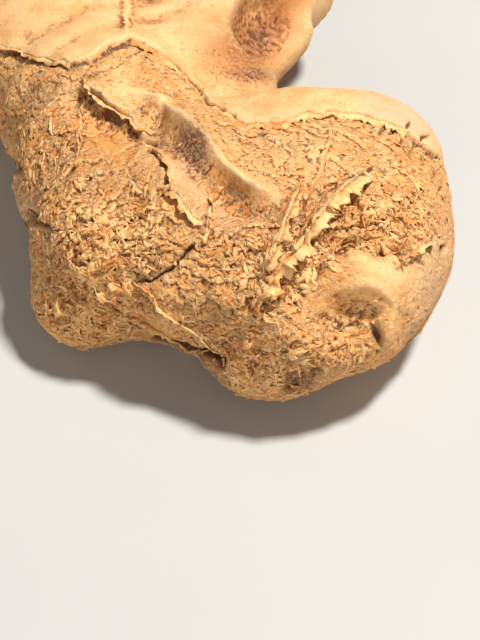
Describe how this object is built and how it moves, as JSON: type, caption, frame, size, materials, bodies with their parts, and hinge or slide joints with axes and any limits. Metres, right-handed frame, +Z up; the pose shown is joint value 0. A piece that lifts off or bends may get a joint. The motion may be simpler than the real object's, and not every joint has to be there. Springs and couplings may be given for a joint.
{
  "type": "ginger root",
  "caption": "Dried ginger root: a knobbly branching rhizome with a fat near lobe, a low knob, a side finger and a broken old end, lying on its flatter side.",
  "frame": {"origin": "on the resting surface, under the middle of the root's length and width", "axes": "+X along the root towards its youngest, fattest lobe; +Y towards the side finger; +Z up, the thin way"},
  "size_m": [0.1062, 0.0622, 0.0244],
  "materials": {
    "dried_skin": "dry, matt, fibrous buff skin"
  },
  "bodies": {
    "root": {"rhizome": "dried_skin"}
  },
  "joints": []
}
